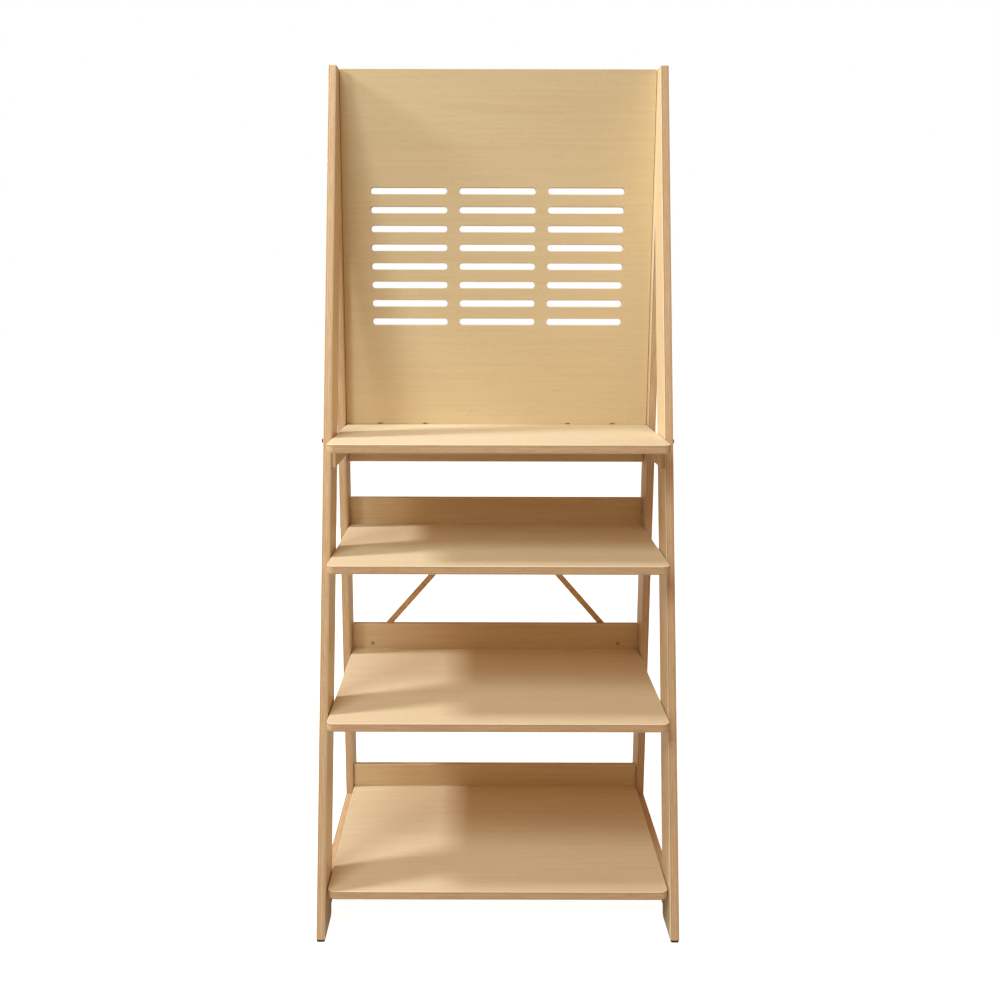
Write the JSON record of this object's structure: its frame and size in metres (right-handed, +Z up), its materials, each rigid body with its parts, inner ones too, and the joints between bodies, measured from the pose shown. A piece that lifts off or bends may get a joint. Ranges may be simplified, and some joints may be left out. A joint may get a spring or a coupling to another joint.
{
  "type": "display rack",
  "caption": "Free-standing plywood display rack with leaning front legs, open shelves that get shallower upwards, back rails, a slanting brace and a slotted panel above.",
  "frame": {"origin": "middle of the footprint on the floor", "axes": "+Z up, front of the rack towards -Y, +X to the right as seen from the front"},
  "size_m": [0.6302, 0.4898, 1.497],
  "materials": {
    "ply_legs": "clear lacquered plywood, light beech face veneer",
    "ply_shelves": "clear lacquered plywood with rounded arrises",
    "ply_rails": "clear lacquered plywood",
    "ply_panel": "clear lacquered plywood, grain across",
    "brace_wood": "darker solid wood strip",
    "dowel_wood": "plain beech",
    "pad_rubber": "matt black",
    "bolt_steel": "zinc plated",
    "screw_steel": "zinc plated"
  },
  "bodies": {
    "root": {"left_front_leg": "ply_legs", "right_front_leg": "ply_legs", "left_rear_leg": "ply_legs", "right_rear_leg": "ply_legs", "left_lower_stretcher": "ply_legs", "right_lower_stretcher": "ply_legs", "left_upper_cleat": "ply_rails", "right_upper_cleat": "ply_rails", "bottom_shelf": "ply_shelves", "lower_middle_shelf": "ply_shelves", "upper_middle_shelf": "ply_shelves", "top_shelf": "ply_shelves", "bottom_back_rail": "ply_rails", "lower_middle_back_rail": "ply_rails", "upper_middle_back_rail": "ply_rails", "top_shelf_rear_rail": "ply_rails", "slotted_back_panel": "ply_panel", "left_brace": "brace_wood", "right_brace": "brace_wood", "foot_pads": "pad_rubber", "shelf_bolts": "bolt_steel", "barrel_nuts": "bolt_steel", "cleat_screws": "screw_steel", "brace_screws": "screw_steel", "rail_screws": "screw_steel", "shelf_dowels": "dowel_wood", "frame_dowels": "dowel_wood", "rail_dowels": "dowel_wood", "panel_dowels": "dowel_wood"}
  },
  "joints": []
}
